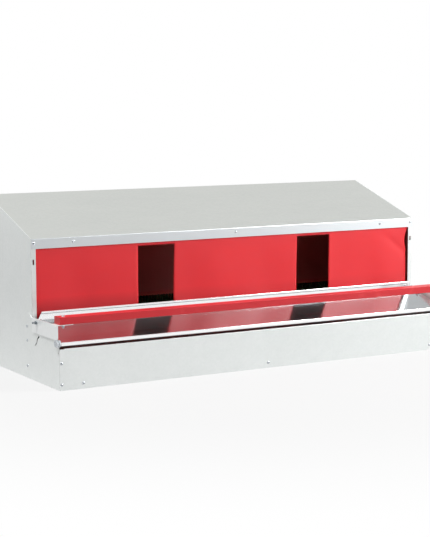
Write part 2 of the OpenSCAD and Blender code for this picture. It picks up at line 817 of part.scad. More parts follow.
module left_perch_arm() {
    color(steel) placed() mirror([1, 0, 0]) perch_arm_right();
}

module right_perch_arm() {
    color(steel) placed() perch_arm_right();
}

// The board's section, with its four long edges rounded
module board_section() {
    translate([board_front + board_edge, board_z]) square([board_d - 2 * board_edge, board_t]);
    translate([board_front, board_z + board_edge]) square([board_d, board_t - 2 * board_edge]);
    for (y = [board_front + board_edge, board_back - board_edge],
         z = [board_z + board_edge, board_z + board_t - board_edge])
        translate([y, z]) circle(r = board_edge);
}

module perch_board() {
    color(paint_red) placed() difference() {
        plate_yz(-board_half, board_half) board_section();
        both_sides() translate([perch_bolt_x, board_mid, board_z - 1])
            cylinder(r = perch_bolt_r + hole_gap, h = board_t + 2);
    }
}

module perch_bolts() {
    tip = arm_top - perch_washer_t - perch_nut_t - perch_stub;
    color(zinc) placed() both_sides() translate([perch_bolt_x, board_mid, 0]) {
        translate([0, 0, tip]) cylinder(r = perch_bolt_r, h = board_z + board_t - tip);
        translate([0, 0, board_z + board_t]) mirror([0, 0, 1])
            rotate_extrude() dome_profile(perch_head_r, perch_head_h);
    }
}

module perch_washers() {
    low = arm_top - perch_washer_t;
    color(zinc) placed() both_sides() translate([perch_bolt_x, board_mid, low]) difference() {
        cylinder(r = perch_washer_r, h = perch_washer_t);
        translate([0, 0, -1]) cylinder(r = perch_bolt_r + hole_gap, h = perch_washer_t + 2);
    }
}

module perch_nuts() {
    low = arm_top - perch_washer_t - perch_nut_t;
    color(zinc) placed() both_sides() translate([perch_bolt_x, board_mid, low]) difference() {
        hex_block(perch_nut_af, perch_nut_t, true);
        translate([0, 0, -1]) cylinder(r = perch_bolt_r + nut_gap, h = perch_nut_t + 2);
    }
}

module pivot_bolts() {
    color(zinc) placed() both_sides() {
        bar_x(pivot_head_out - pivot_head_t, pivot_head_out, pivot_y, pivot_z, pivot_head_r);
        bar_x(pivot_head_out, pivot_end, pivot_y, pivot_z, pivot_d / 2);
    }
}

module ring_x(x0, x1, y, z, r, hole_r) {
    difference() {
        bar_x(x0, x1, y, z, r);
        bar_x(x0 - 1, x1 + 1, y, z, hole_r);
    }
}

module lid_bushes() {
    color(zinc) placed() both_sides()
        ring_x(lid_half + side_gap, tray_in, pivot_y, pivot_z, bush_r, pivot_d / 2 + hole_gap);
}

module arm_spacers() {
    color(zinc) placed() both_sides()
        ring_x(tray_out, arm_in - side_gap, pivot_y, pivot_z, pivot_washer_r, pivot_d / 2 + hole_gap);
}

module pivot_washers() {
    color(zinc) placed() both_sides()
        ring_x(pivot_washer_in, pivot_nut_in, pivot_y, pivot_z, pivot_washer_r, pivot_d / 2 + hole_gap);
}

module pivot_nuts() {
    nut_out = pivot_nut_in + pivot_nut_t;
    color(zinc) placed() both_sides() difference() {
        hex_x(pivot_nut_in, nut_out, pivot_y, pivot_z, pivot_nut_af, true);
        bar_x(pivot_nut_in - 1, nut_out + 1, pivot_y, pivot_z, pivot_d / 2 + nut_gap);
    }
}

module stop_bolts() {
    color(zinc) placed() both_sides() {
        bar_x(tray_in - stop_nut_t, tray_out + stop_head_t / 2, stop_y, stop_z, stop_d / 2);
        bar_x(tray_in - stop_nut_t - stop_reach, tray_in, stop_y, stop_z, stop_pin_d / 2);
        hex_x(tray_out + stop_head_t, tray_out, stop_y, stop_z, stop_hex_af);
    }
}

module stop_nuts() {
    color(zinc) placed() both_sides() difference() {
        hex_x(tray_in - stop_nut_t, tray_in, stop_y, stop_z, stop_hex_af, true);
        bar_x(tray_in - stop_nut_t - 1, tray_in + 1, stop_y, stop_z, stop_d / 2 + nut_gap);
    }
}

module tray_rivets() {
    color(zinc) placed() both_sides() for (z = tray_rivet_z)
        translate([tray_out, tray_rivet_y, z]) rotate([0, -90, 0]) {
            cylinder(d = screw_d, h = 2 * sheet_t + tail);
            rotate_extrude() dome_profile(head_d / 2, head_h);
        }
}

module front_panel_screws() {
    color(zinc) placed() {
        for (s = [-1, 1], z = panel_side_z)
            screw_y(s * panel_side_x, panel_front, z, 2 * sheet_t + tail);
        for (x = panel_low_x)
            screw_y(x, panel_front, panel_low_z, 2 * sheet_t + tail);
    }
}

module roof_lip_screws() {
    color(zinc) placed() {
        for (s = [-1, 1])
            screw_y(s * end_screw_x, -sheet_t, clamp_screw_z, 2 * sheet_t + tail);
        for (x = rail_screw_x)
            screw_y(x, -sheet_t, clamp_screw_z, sheet_t + rail_y + rail_t + rail_nut_t + tail);
    }
}

module rail_nuts() {
    color(zinc) placed() for (x = rail_screw_x)
        translate([x, rail_y + rail_t + rail_nut_t, clamp_screw_z]) rotate([90, 0, 0]) difference() {
            cylinder(d = rail_nut_af / cos(30), h = rail_nut_t, $fn = 6);
            translate([0, 0, -1]) cylinder(r = screw_d / 2 + nut_gap, h = rail_nut_t + 2);
        }
}

module back_rivets() {
    color(zinc) placed() for (s = [-1, 1]) {
        for (z = back_rivet_z)
            translate([s * back_rivet_x, cab_d, z]) mirror([0, 1, 0])
                screw_y(0, 0, 0, 2 * sheet_t + tail);
        translate([s * back_rivet_x, roof_back, back_h - roof_screw_drop]) mirror([0, 1, 0])
            screw_y(0, 0, 0, 3 * sheet_t + tail);
    }
}

roof_panel();
left_side_panel();
right_side_panel();
back_panel();
bottom_pan();
front_panel();
left_tray_side();
right_tray_side();
left_floor_ledge();
right_floor_ledge();
nest_floor();
nest_pad();
egg_tray();
curtain();
curtain_rail();
curtain_strip();
egg_tray_lid();
left_perch_arm();
right_perch_arm();
perch_board();
perch_bolts();
perch_washers();
perch_nuts();
pivot_bolts();
lid_bushes();
arm_spacers();
pivot_washers();
pivot_nuts();
stop_bolts();
stop_nuts();
tray_rivets();
front_panel_screws();
roof_lip_screws();
rail_nuts();
back_rivets();
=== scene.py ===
# %% [markdown]
# # Roll out nest box
# Hens stand on the red perch, push through the red curtain and lay inside a sheet steel box. The
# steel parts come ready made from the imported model. This file gives them their finishes, hangs
# the curtain, and adds the small things that a plain solid lacks: the cross in a screw's head, the
# thread on a bolt, the tufts of the turf pad.

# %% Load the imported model
import math

import bmesh
import bpy
import numpy as np
from mathutils import Matrix, Vector


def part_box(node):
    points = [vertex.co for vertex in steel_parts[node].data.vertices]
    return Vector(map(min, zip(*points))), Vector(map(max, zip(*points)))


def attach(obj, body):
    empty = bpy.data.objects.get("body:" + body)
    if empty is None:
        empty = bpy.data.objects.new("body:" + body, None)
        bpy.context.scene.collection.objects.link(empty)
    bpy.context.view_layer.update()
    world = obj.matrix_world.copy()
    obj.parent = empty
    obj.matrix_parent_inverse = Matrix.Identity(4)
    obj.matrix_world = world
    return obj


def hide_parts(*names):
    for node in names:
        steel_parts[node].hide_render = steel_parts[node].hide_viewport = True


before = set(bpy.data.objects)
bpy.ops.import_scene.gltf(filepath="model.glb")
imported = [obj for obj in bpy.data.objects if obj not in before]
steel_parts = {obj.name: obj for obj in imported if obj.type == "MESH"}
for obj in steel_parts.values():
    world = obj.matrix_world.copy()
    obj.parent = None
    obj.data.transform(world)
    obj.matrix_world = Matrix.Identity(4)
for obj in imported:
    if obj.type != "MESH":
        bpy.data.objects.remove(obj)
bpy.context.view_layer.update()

# %% [markdown]
# ## The camera
# The picture was taken from the left, a little above the roof's front edge. Where the camera stood
# and how it was turned come from a fit to the box's corners, edges and screws. A camera in Blender
# looks along its own -Z axis, so its matrix is built from three directions: right, up and
# backwards. The long lens is what keeps the far end of the box nearly as tall as the near end. In
# an upright picture the sensor's width stands for the picture's height.

# %% The camera
opening_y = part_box("left_side_panel")[0].y
eye = Vector((-2.07594, opening_y - 3.44869, 0.73021))
turn, dip, roll = (math.radians(a) for a in (30.231, 6.790, -0.147))
focal_length_px, picture_height_px = 1466.06, 537
ahead = Vector((math.sin(turn) * math.cos(dip), math.cos(turn) * math.cos(dip), -math.sin(dip)))
level = Vector((math.cos(turn), -math.sin(turn), 0))
above = level.cross(ahead)
right = level * math.cos(roll) + above * math.sin(roll)
up = above * math.cos(roll) - level * math.sin(roll)
lens = bpy.data.cameras.new("camera")
lens.sensor_width = 36
lens.lens = focal_length_px / picture_height_px * lens.sensor_width
camera = bpy.data.objects.new("camera", lens)
camera.matrix_world = Matrix((
    (right.x, up.x, -ahead.x, eye.x),
    (right.y, up.y, -ahead.y, eye.y),
    (right.z, up.z, -ahead.z, eye.z),
    (0, 0, 0, 1),
))
bpy.context.scene.collection.objects.link(camera)
bpy.context.scene.camera = camera
bpy.context.scene.view_settings.view_transform = "Standard"
print("lens", round(lens.lens, 2), "mm")

# %% [markdown]
# ## Shader maths that reads like sums
# A finish is a small program made of nodes. Wired by hand it is hard to read, so one class wraps
# a node's output and gives it the usual signs. `1 - mask` then adds a Math node by itself. The
# signs > and < give a mask, which is 1 where they hold and 0 elsewhere.


# %% Wires
class Wire:
    """One output of a node, with arithmetic."""

    def __init__(self, finish, socket):
        self.finish, self.socket = finish, socket

    def sums(self, operation, first, second):
        return self.finish.node("Math", {"operation": operation}, {0: first, 1: second})

    def __add__(self, other):
        return self.sums("ADD", self, other)

    def __radd__(self, other):
        return self.sums("ADD", other, self)

    def __sub__(self, other):
        return self.sums("SUBTRACT", self, other)

    def __rsub__(self, other):
        return self.sums("SUBTRACT", other, self)

    def __mul__(self, other):
        return self.sums("MULTIPLY", self, other)

    def __rmul__(self, other):
        return self.sums("MULTIPLY", other, self)

    def __gt__(self, other):
        return self.sums("GREATER_THAN", self, other)

    def __lt__(self, other):
        return self.sums("LESS_THAN", self, other)


# %% [markdown]
# ## Finishes
# Any node comes from `Finish.node`: its kind, its settings, then the values or links of its
# sockets. The ones that come back in every finish have short names of their own. `axis` is used
# for a finish that depends on the place: every part has its origin at the world's, so the object
# coordinates are the true place in metres, from whichever side it is seen.


# %% Finishes
class Finish:
    """A material whose nodes are added one call at a time."""

    def __init__(self, name, tree=None):
        if tree is None:
            self.material = bpy.data.materials.new(name)
            self.material.use_nodes = True
            tree = self.material.node_tree
        self.tree = tree
        self.tree.nodes.clear()

    def node(self, kind, settings=None, sockets=None, out=0):
        made = self.tree.nodes.new("ShaderNode" + kind)
        for name, value in (settings or {}).items():
            if name == "stops":
                for stop, (place, grey) in zip(made.color_ramp.elements, value):
                    stop.position, stop.color = place, (grey, grey, grey, 1)
            else:
                setattr(made, name, value)
        for name, value in (sockets or {}).items():
            if isinstance(value, Wire):
                self.tree.links.new(value.socket, made.inputs[name])
            else:
                made.inputs[name].default_value = value
        return Wire(self, made.outputs[out])

    def mix(self, share, first, second):
        return self.node("Mix", {"data_type": "RGBA"}, {0: share, 6: first, 7: second}, out=2)

    def place(self, stretch=(1, 1, 1)):
        where = self.node("TexCoord", out="Object")
        return self.node("VectorMath", {"operation": "MULTIPLY"}, {0: where, 1: stretch})

    def axis(self, letter):
        """How far along X, Y or Z a point lies, in metres."""
        return self.node("SeparateXYZ", None, {0: self.node("TexCoord", out="Object")}, out=letter)

    def size(self, value):
        """A number without its sign."""
        return self.node("Math", {"operation": "ABSOLUTE"}, {0: value})

    def slope(self, value, start, end, first=0.0, last=1.0):
        """first up to start, last from end on, and a straight slope between."""
        return self.node("MapRange", None, {0: value, 1: start, 2: end, 3: first, 4: last})

    def soft_step(self, value, start, end):
        """0 up to start, 1 from end on, and a smooth rise between."""
        settings = {"interpolation_type": "SMOOTHSTEP"}
        return self.node("MapRange", settings, {0: value, 1: start, 2: end})

    def ray(self, kind):
        """1 for the rays of one kind, such as those that come from a mirror."""
        return self.node("LightPath", out=f"Is {kind} Ray")

    def noise(self, scale, stretch=(1, 1, 1), detail=2.0):
        sockets = {"Vector": self.place(stretch), "Scale": scale, "Detail": detail}
        return self.node("TexNoise", None, sockets)

    def bump(self, height, distance, strength=1.0):
        sockets = {"Height": height, "Distance": distance, "Strength": strength}
        return self.node("Bump", None, sockets)

    def surface(self, **sockets):
        named = {name.replace("_", " "): value for name, value in sockets.items()}
        self.node_output(self.node("BsdfPrincipled", None, named))
        print(self.material.name, "has", len(self.tree.nodes), "nodes")
        return self.material

    def node_output(self, shader, kind="Material"):
        end = self.tree.nodes.new("ShaderNodeOutput" + kind)
        self.tree.links.new(shader.socket, end.inputs["Surface"])


def rgb(red, green, blue):
    """A colour as a picture editor gives it, 0 to 255, turned into the light that Blender sums."""
    parts = [v / 255 for v in (red, green, blue)]
    return tuple(v / 12.92 if v <= 0.04045 else ((v + 0.055) / 1.055) ** 2.4 for v in parts) + (1,)


# %% [markdown]
# ## Galvanised sheet
# The zinc skin of the panels is a mosaic of flat crystals a few millimetres across, the spangle,
# with soft clouds from the rolling mill over it. A Voronoi texture gives each crystal one random
# grey, and two noises give the clouds. The differences are small: from two metres the sheet looks
# plain, and only its gloss shifts a little from crystal to crystal.
#
# Inside the nest the same sheets are duller, and a reddish brown is painted on them as the red
# light that comes through the curtain. A sheet is one part with one material, so the inside is
# found by
# place: a point is inside if it lies within the walls. The roof's front lip is found by place too,
# and its bent face gets a bluer tone as a painted reflection.

# %% Where the inside of the nest begins
side_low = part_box("left_side_panel")[0]
back_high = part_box("back_panel")[1]
half_sheet = 0.0005
front_flange = 0.003
pan_height = 0.03
roof_front_z = 0.364
roof_climb = (back_high.z - roof_front_z) / (back_high.y - opening_y)


def inside_the_nest(steel):
    """1 on the surfaces that face the dark nest, 0 on the outside of the same sheets."""
    x, y, z = steel.axis("X"), steel.axis("Y"), steel.axis("Z")
    between_sides = (x > side_low.x + half_sheet) * (x < -side_low.x - half_sheet)
    between_ends = (y > side_low.y + front_flange) * (y < back_high.y - half_sheet)
    roof_face = roof_front_z + (y - opening_y) * roof_climb
    return between_sides * between_ends * (z > pan_height) * (z < roof_face - half_sheet)


print("roof climbs", round(math.degrees(math.atan(roof_climb)), 1), "degrees to the back")

# %% [markdown]
# One function makes every kind of galvanised sheet here: that of the panels, the roof's, which is
# a little rougher and mirrors the ceiling, the paler one of the perch arms, and a dark one for
# the plates that are hidden in the nest, whose grey is painted shade.

# %% Galvanised sheet
# Painted light: the bluer tone of the roof's lip is a reflection, and the reddish brown inside the
# nest is red light.
crystals_per_metre, lip_reflection_tone, nest_red_light_tone = 170.0, rgb(216, 221, 225), rgb(222, 108, 102)


def galvanised(name, pale, dark, gloss, along=(1, 1, 1), metal=0.9, lip_reflection_share=0):
    steel = Finish(name)
    crystal = steel.node("TexVoronoi", None,
                         {"Vector": steel.place(), "Scale": crystals_per_metre}, out="Color")
    flake = steel.node("SeparateColor", None, {0: crystal})
    cloud = steel.noise(2.6, along, 3.0)
    grain = steel.noise(34, along, 2.0)
    worn = flake * 0.16 + cloud * 0.9 + grain * 0.3 - 0.34
    ripple = steel.bump(flake * 0.5 + steel.noise(700) * 0.4, 0.0001, 0.2)
    # A reddish brown is painted inside the nest as red light, and a bluer tone on the roof's lip as
    # a painted reflection.
    inner = inside_the_nest(steel)
    lip = (steel.axis("Y") < opening_y + 0.0002) * lip_reflection_share
    outer_tone = steel.mix(lip, steel.mix(worn, pale, dark), lip_reflection_tone)
    return steel.surface(
        Base_Color=steel.mix(inner, outer_tone, nest_red_light_tone), Metallic=metal - inner * 0.45,
        Roughness=gloss + flake * 0.05 + cloud * 0.08 + inner * 0.1, Normal=ripple,
    )


panel_steel = galvanised("galvanised_panel", rgb(235, 238, 237), rgb(216, 221, 219), 0.25,
                         metal=0.48)
roof_steel = galvanised("galvanised_roof", rgb(222, 224, 220), rgb(204, 208, 204), 0.3,
                        along=(0.3, 1, 1), metal=0.92, lip_reflection_share=0.8)
arm_steel = galvanised("galvanised_arm", rgb(243, 245, 245), rgb(229, 232, 232), 0.25, metal=0.38)
# The plates hidden in the nest get a dark grey: painted shade.
shaded_hidden_steel = galvanised("galvanised_painted_shade", rgb(120, 112, 110), rgb(96, 88, 86), 0.42)

# %% [markdown]
# ## Bright sheet
# The lid of the egg tray is smoother than the panels and mirrors the curtain above it. The mirror
# is a little blurred along the sheet's length, where the rolls have drawn fine lines into it, so
# the bump noise is stretched along X. The upright flange at its back ends in a folded hem, and a
# thin dark line of painted shadow, found by its height, lies under that hem. The two folded
# edges get a painted highlight: their colour is brighter than the flat.

# %% Bright sheet for the lid
lid_low, lid_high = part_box("egg_tray_lid")
hem_height, hem_shadow_half_width = 0.0052, 0.0009
hem_shadow_z = lid_high.z - hem_height - 0.0004
back_fold, front_fold = 0.0036, 0.0014
# Painted light: a highlight tone for the folded edges and a shadow tone for the line under the hem.
fold_highlight_tone, hem_shadow_tone = rgb(250, 251, 252), rgb(96, 104, 112)


def bright_sheet():
    steel = Finish("bright_lid")
    # A thin line of painted shadow under the hem, and a painted highlight on both folded edges.
    hem_shadow = steel.size(steel.axis("Z") - hem_shadow_z) < hem_shadow_half_width
    y = steel.axis("Y")
    highlit_folds = (y > lid_high.y - back_fold) + (y < lid_low.y + front_fold)
    cloud = steel.noise(4, (0.4, 1, 1), 3.0)
    flat_tone = steel.mix(cloud, rgb(190, 194, 196), rgb(180, 186, 189))
    return steel.surface(
        Base_Color=steel.mix(hem_shadow * 0.8, steel.mix(highlit_folds, flat_tone, fold_highlight_tone), hem_shadow_tone),
        Metallic=0.95 - highlit_folds * 0.15,
        Roughness=0.1 + cloud * 0.09,
        Normal=steel.bump(steel.noise(900, (0.003, 1, 1), 1.0), 0.00001, 0.12),
    )


lid_steel = bright_sheet()

# %% [markdown]
# ## Zinc plate
# Screws, rivets, bolts and nuts are plated bright. They are small, so a fine noise in their
# roughness is all that shows. The bolts on which lid and perch turn are greasy and darker.


# %% Zinc plate for the fasteners
def zinc_plate(name, bright, tarnished):
    plate = Finish(name)
    tarnish = plate.noise(260, detail=3.0)
    return plate.surface(
        Base_Color=plate.mix(tarnish, bright, tarnished), Metallic=1.0,
        Roughness=0.2 + tarnish * 0.18, Normal=plate.bump(tarnish, 0.00005, 0.4),
    )


zinc = zinc_plate("zinc_plate", rgb(214, 218, 222), rgb(176, 182, 188))
worn_zinc = zinc_plate("zinc_plate_worn", rgb(150, 158, 162), rgb(104, 112, 118))

# %% [markdown]
# ## Red vinyl
# The curtain is a sheet of soft vinyl about a millimetre thick, with a leathery skin and a satin
# gloss. Its colour is even, apart from slight clouding and a deeper red painted along its foot as
# shade, most of all at the left. A little light passes through it and comes out red, which
# is what subsurface scattering is for: it tints the dark inside of the box.

# %% Red vinyl
# Where the painted shade along the curtain's foot starts and ends.
foot_shade_from, foot_shade_to = lid_high.z + 0.034, lid_high.z + 0.006


def red_vinyl():
    sheet = Finish("red_vinyl")
    cloud = sheet.noise(5, detail=3.0)
    # A deeper red is painted along the foot and towards the left: painted shade.
    foot_shade = sheet.slope(sheet.axis("Z"), foot_shade_from, foot_shade_to)
    left_shade = sheet.slope(sheet.axis("X"), 0.1, -0.5, first=0.3)
    clean = sheet.mix(cloud, rgb(250, 40, 48), rgb(238, 34, 44))
    return sheet.surface(
        Base_Color=sheet.mix(foot_shade * left_shade * 0.6, clean, rgb(176, 22, 32)),
        Roughness=0.42 + cloud * 0.1,
        Normal=sheet.bump(sheet.noise(1400, detail=2.0), 0.00006, 0.35),
        Subsurface_Weight=0.4, Subsurface_Radius=(0.01, 0.001, 0.001), Subsurface_Scale=1.0,
    )


vinyl = red_vinyl()

# %% [markdown]
# ## Red paint on wood
# The perch is a planed board under thick glossy paint. The grain still shows as long shallow
# waves, so the bump noise is stretched along the board, and a few rubbed places are paler. The
# sawn ends are painted a deeper red as shade.

# %% Red paint for the perch
board_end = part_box("perch_board")[1].x - 0.0006


def red_paint():
    coat = Finish("red_paint")
    grain = coat.noise(240, (0.03, 1, 1), 3.0)
    brushed = coat.noise(60, (0.12, 1, 1), 2.0)
    rubbed = coat.node("ValToRGB", {"stops": [(0.62, 0.0), (0.78, 1.0)]},
                       {"Fac": coat.noise(26, (0.6, 1, 1), 4.0)})
    side_grain = coat.mix(brushed, rgb(206, 30, 39), rgb(184, 25, 36))
    # The board's two ends get a deeper red: painted shade.
    end_shade = coat.size(coat.axis("X")) > board_end
    tone = coat.mix(end_shade, side_grain, rgb(180, 12, 18))
    return coat.surface(
        Base_Color=coat.mix(rubbed * 0.35, tone, rgb(232, 84, 86)),
        Roughness=0.36 + grain * 0.12 + rubbed * 0.15, Normal=coat.bump(grain, 0.0002, 0.35),
    )


paint = red_paint()

# %% [markdown]
# ## Turf
# The pad on the nest floor is moulded plastic grass, a dark green. Its blades are modelled
# further down, so the material needs only a patchy green and a dull shine.


# %% Turf
def turf():
    plastic = Finish("turf")
    patch = plastic.noise(60, detail=3.0)
    return plastic.surface(
        Base_Color=plastic.mix(patch, rgb(34, 66, 36), rgb(52, 92, 50)),
        Roughness=0.5 + patch * 0.2, Normal=plastic.bump(plastic.noise(500), 0.0004, 0.4),
    )


grass = turf()

# %% [markdown]
# ## Which part gets which finish
# The parts that aren't of plain galvanised sheet are listed by name. The fasteners share the zinc
# plate, the hidden plates the dark sheet with painted shade, and the two perch arms a paler one.
# Every other part gets the sheet of the panels.

# %% Give each part its finish
coats = {
    "roof_panel": roof_steel, "egg_tray_lid": lid_steel, "perch_board": paint, "nest_pad": grass,
    "curtain": vinyl, "left_perch_arm": arm_steel, "right_perch_arm": arm_steel,
    "pivot_bolts": worn_zinc, "pivot_nuts": worn_zinc,
}
for part in ("perch_bolts", "perch_washers", "perch_nuts", "lid_bushes", "arm_spacers",
             "pivot_washers", "stop_bolts", "stop_nuts", "tray_rivets", "front_panel_screws",
             "roof_lip_screws", "rail_nuts", "back_rivets"):
    coats[part] = zinc
for part in ("nest_floor", "left_floor_ledge", "right_floor_ledge", "curtain_rail",
             "curtain_strip"):
    coats[part] = shaded_hidden_steel
for name, part in steel_parts.items():
    part.data.materials.clear()
    part.data.materials.append(coats.get(name, panel_steel))
print(len(coats), "parts with their own finish, the rest in galvanised sheet")

# %% [markdown]
# ## Shapes as points and faces
# Small turned things, such as a rivet, are the same all the way round. So their outline is written
# once, as radius and height, and swung about an axis. A shape is kept as a pair, its points and
# its faces, until it is placed. Then copies can be moved and joined with plain sums.


# %% Helpers for shapes
def smooth(u):
    """0 below 0, 1 above 1, and a soft rise between."""
    u = np.clip(u, 0, 1)
    return u * u * (3 - 2 * u)


def turned(outline, sides=40):
    """Swing an outline of (radius, height) about the Z axis. It starts and ends on the axis."""
    angles = np.arange(sides) * 2 * math.pi / sides
    points, rings = [], []
    for radius, z in outline:
        count = sides if radius > 0 else 1
        rings.append([len(points) + k for k in range(count)])
        points += [(radius * math.cos(a), radius * math.sin(a), z) for a in angles[:count]]
    faces = []
    for low, high in zip(rings, rings[1:]):
        for k in range(sides):
            here, beside = k, k + 1
            ring = [low[here % len(low)], low[beside % len(low)],
                    high[beside % len(high)], high[here % len(high)]]
            faces.append(tuple(dict.fromkeys(ring)))
    return np.array(points), faces


def placed(shape, start, towards):
    """Move a shape so that its foot is at start and its own Z points towards a direction."""
    turn_it = np.array(Vector(towards).to_track_quat("Z", "Y").to_matrix())
    return shape[0] @ turn_it.T + np.array(start), shape[1]


def joined(shapes):
    """Many shapes as one."""
    points, faces = [], []
    for more_points, more_faces in shapes:
        shift = sum(len(p) for p in points)
        points.append(more_points)
        faces += [tuple(int(i) + shift for i in face) for face in more_faces]
    return np.concatenate(points), faces


# %% [markdown]
# ## From shapes to objects, and back
# `from_pydata` turns points and faces into a mesh. Points that no face uses are dropped first, or
# they would hang about as loose specks. The other way round, the screws and rivets that the packed
# model holds are read from their mesh, to learn where each one sits. A mesh of seven screws has
# seven islands, and an island is found by walking from point to point along the edges.


# %% Helpers for objects
def make_mesh(name, shape, finish, crease=None):
    """An object from faces and the points they use. Edges sharper than the crease stay sharp."""
    points, faces = shape
    used = sorted({int(i) for face in faces for i in face})
    number = {old: new for new, old in enumerate(used)}
    mesh = bpy.data.meshes.new(name)
    mesh.from_pydata([tuple(points[i]) for i in used], [],
                     [[number[int(i)] for i in face] for face in faces])
    mesh.validate()
    if finish:
        mesh.materials.append(finish)
    if crease:
        mesh.polygons.foreach_set("use_smooth", [True] * len(mesh.polygons))
        mesh.set_sharp_from_angle(angle=math.radians(crease))
    made = bpy.data.objects.new(name, mesh)
    bpy.context.scene.collection.objects.link(made)
    return made


def solids_of(node):
    """The lowest and highest corner of each separate solid in a part, from left to right."""
    work = bmesh.new()
    work.from_mesh(steel_parts[node].data)
    bmesh.ops.remove_doubles(work, verts=work.verts, dist=1e-5)
    work.verts.ensure_lookup_table()
    waiting, found = {v.index for v in work.verts}, []
    for first in range(len(work.verts)):
        if first not in waiting:
            continue
        waiting.discard(first)
        todo, group = [work.verts[first]], []
        while todo:
            v = todo.pop()
            group.append(tuple(v.co))
            near = [edge.other_vert(v) for edge in v.link_edges]
            todo += [other for other in near if other.index in waiting]
            waiting -= {other.index for other in near}
        found.append((np.min(group, axis=0), np.max(group, axis=0)))
    work.free()
    return sorted(found, key=lambda pair: (round(pair[0][0], 4), round(pair[0][2], 4)))


print(len(solids_of("tray_rivets")), "rivets in the tray's sides")

# %% [markdown]
# ## Screws
# The front panel and the roof's lip are held by pan head screws with a cross recess. In the packed
# model their heads are plain domes. A recess is a hollow, so the head is made as a solid and a
# tapered cross is cut out of it with a Boolean modifier, which is applied at once. One screw is
# cut, and the rest are copies of its points.


# %% The cross and the knife
def cross_cutter(reach, half_width, depth, top):
    """A plus sign that narrows as it goes down."""
    corners = [(reach, half_width), (half_width, half_width), (half_width, reach)]
    plus = []
    for quarter in range(4):
        c, s = round(math.cos(quarter * math.pi / 2)), round(math.sin(quarter * math.pi / 2))
        plus += [(c * x - s * y, s * x + c * y) for x, y in corners]
    top_share, foot_share = 1.06, 0.5
    points = [(x * share, y * share, z)
              for share, z in ((top_share, top), (foot_share, top - depth)) for x, y in plus]
    n = len(plus)
    sides = [(k, (k + 1) % n, (k + 1) % n + n, k + n) for k in range(n)]
    return np.array(points), sides + [tuple(range(n - 1, -1, -1)), tuple(range(n, 2 * n))]


def carve(solid, cutter):
    """Take one shape out of another."""
    body, tool = make_mesh("blank", solid, None), make_mesh("cutter", cutter, None)
    for piece in (body, tool):
        work = bmesh.new()
        work.from_mesh(piece.data)
        bmesh.ops.recalc_face_normals(work, faces=work.faces)
        work.to_mesh(piece.data)
        work.free()
    cut = body.modifiers.new("recess", "BOOLEAN")
    cut.operation, cut.object, cut.solver = "DIFFERENCE", tool, "EXACT"
    cut_mesh = body.evaluated_get(bpy.context.evaluated_depsgraph_get()).to_mesh()
    points = np.array([tuple(v.co) for v in cut_mesh.vertices])
    faces = [tuple(f.vertices) for f in cut_mesh.polygons]
    for piece in (body, tool):
        bpy.data.objects.remove(piece)
    return points, faces


# %% [markdown]
# The head is part of a ball, which is what such a head is pressed to. Its rim is 8 mm across and
# it stands 2 mm proud. The cross is nearly as deep as the head is high.

# %% One screw's head
screw_radius, head_radius, head_height = 0.002, 0.004, 0.002
ball_radius = (head_radius ** 2 + head_height ** 2) / (2 * head_height)


def dome(steps=9):
    """The outline of the domed head from its rim up to its top."""
    widest = math.asin(head_radius / ball_radius)
    angles = [widest * (1 - k / steps) for k in range(steps)]
    outline = [(ball_radius * math.sin(a), ball_radius * math.cos(a) - ball_radius + head_height)
               for a in angles]
    return outline + [(0, head_height)]


neck = 0.001
pan_head = carve(
    turned([(0, -neck), (screw_radius, -neck), (screw_radius, 0)] + dome()),
    cross_cutter(reach=0.0022, half_width=0.00042, depth=0.0021, top=head_height + 0.0004),
)
print("head from", pan_head[0].min(axis=0).round(5), "to", pan_head[0].max(axis=0).round(5))

# %% [markdown]
# The cross is painted darker than the head, as shade in a recess. So the faces of the head are
# parted in
# two: a face belongs to the cross if it is near the middle and lies under the dome's surface.

# %% The cross gets its own shade
recess_reach, recess_floor, under_dome = 0.0025, 0.00002, 0.00006


def split_recess(shape):
    """Part the faces of a head: the outside, and the walls and floor of the cross."""
    points, faces = shape
    outside, recess = [], []
    for face in faces:
        centre = points[list(face)].mean(axis=0)
        out = math.hypot(centre[0], centre[1])
        dome_z = math.sqrt(ball_radius ** 2 - out ** 2) - ball_radius + head_height
        sunk = out < recess_reach and recess_floor < centre[2] < dome_z - under_dome
        (recess if sunk else outside).append(face)
    return (points, outside), (points, recess)


# Painted shade for the cross: a dark grey zinc with a light mottle.
def recess_shade():
    shade_coat = Finish("recess_shade")
    shade_mottle = shade_coat.noise(900, detail=2.0)
    return shade_coat.surface(Base_Color=shade_coat.mix(shade_mottle, rgb(88, 92, 98), rgb(52, 55, 60)),
                         Metallic=0.6, Roughness=0.45 + shade_mottle * 0.2)


head_outside, head_recess = split_recess(pan_head)
shaded_recess_zinc = recess_shade()
print(len(head_recess[1]), "faces in the cross")

# %% [markdown]
# A new screw takes the place of each plain one. Its shank ends in a short taper, and it is as long
# as the plain screw was.

# %% Fit the screws
taper, taper_share = 0.0006, 0.7


def fit_screws(node, finish):
    """Put a screw in the place of each plain one. Its head faces the front."""
    shapes, hollows = [], []
    for low, high in solids_of(node):
        x, z = (low[0] + high[0]) / 2, (low[2] + high[2]) / 2
        face = low[1] + head_height
        tip = high[1] - face
        shapes.append(placed(head_outside, (x, face, z), (0, -1, 0)))
        hollows.append(placed(head_recess, (x, face, z), (0, -1, 0)))
        shank = turned([(0, 0), (screw_radius, 0), (screw_radius, tip - taper),
                        (screw_radius * taper_share, tip), (0, tip)], sides=24)
        shapes.append(placed(shank, (x, face, z), (0, 1, 0)))
    piece = make_mesh("crosshead_" + node, joined(shapes), finish, crease=32)
    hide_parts(node)
    recess = make_mesh("recess_" + node, joined(hollows), shaded_recess_zinc)
    for made in (piece, recess):
        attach(made, "cabinet")
    return len(hollows)


for node in ("front_panel_screws", "roof_lip_screws"):
    print(fit_screws(node, zinc), "in", node)

